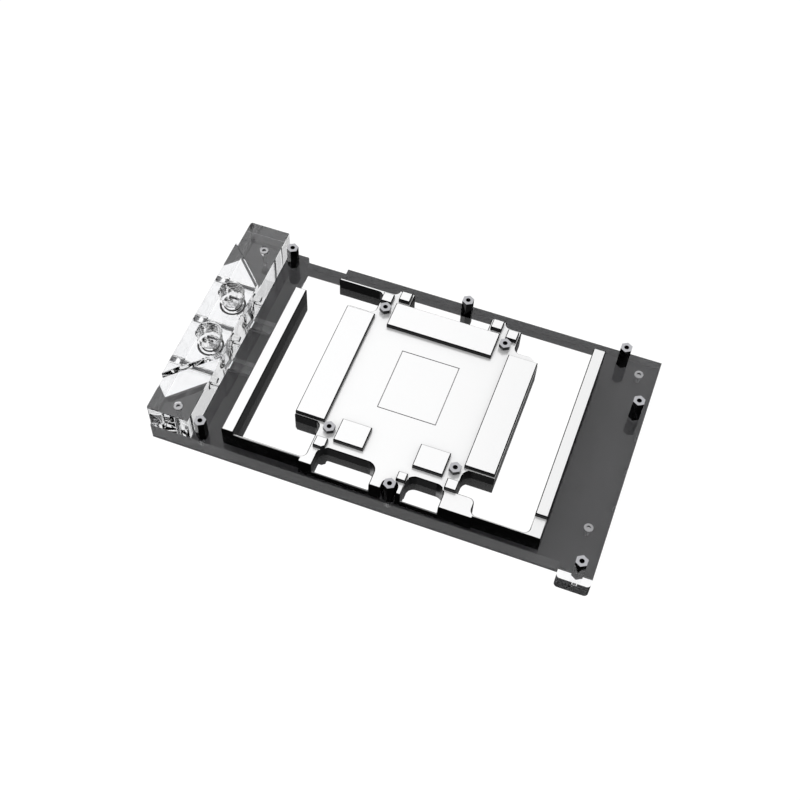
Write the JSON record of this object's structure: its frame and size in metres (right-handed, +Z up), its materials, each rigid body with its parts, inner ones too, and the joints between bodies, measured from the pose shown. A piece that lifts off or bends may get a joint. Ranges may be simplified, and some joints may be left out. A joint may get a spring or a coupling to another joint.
{
  "type": "liquid cooling cold plate",
  "caption": "Liquid cooling cold plate for a graphics card: milled metal plate on a clear acrylic plate, with a clear terminal block with two threaded ports and hex standoffs.",
  "frame": {"origin": "centre of the bounding box in plan, on the underside", "axes": "+Z up, out of the side that faces the card; +X along the length, from the terminal block to the free end; +Y across, away from the tab"},
  "size_m": [0.231, 0.1384, 0.0305],
  "materials": {
    "acrylic": "polished clear acrylic",
    "cover": "dark matt",
    "nickel": "bright nickel plate",
    "standoff": "nickel plated brass",
    "screw": "black oxide",
    "steel": "stainless",
    "seal": "matt"
  },
  "bodies": {
    "root": {"acrylic_plate": "acrylic", "cover_plate": "cover", "terminal_block": "acrylic", "cold_plate": "nickel", "tall_standoffs": "standoff", "short_standoffs": "standoff", "terminal_end_screws": "screw", "terminal_screws": "screw", "cold_plate_screws": "steel", "cover_screws": "steel", "port_seals": "seal", "cold_plate_seal": "seal"}
  },
  "joints": []
}
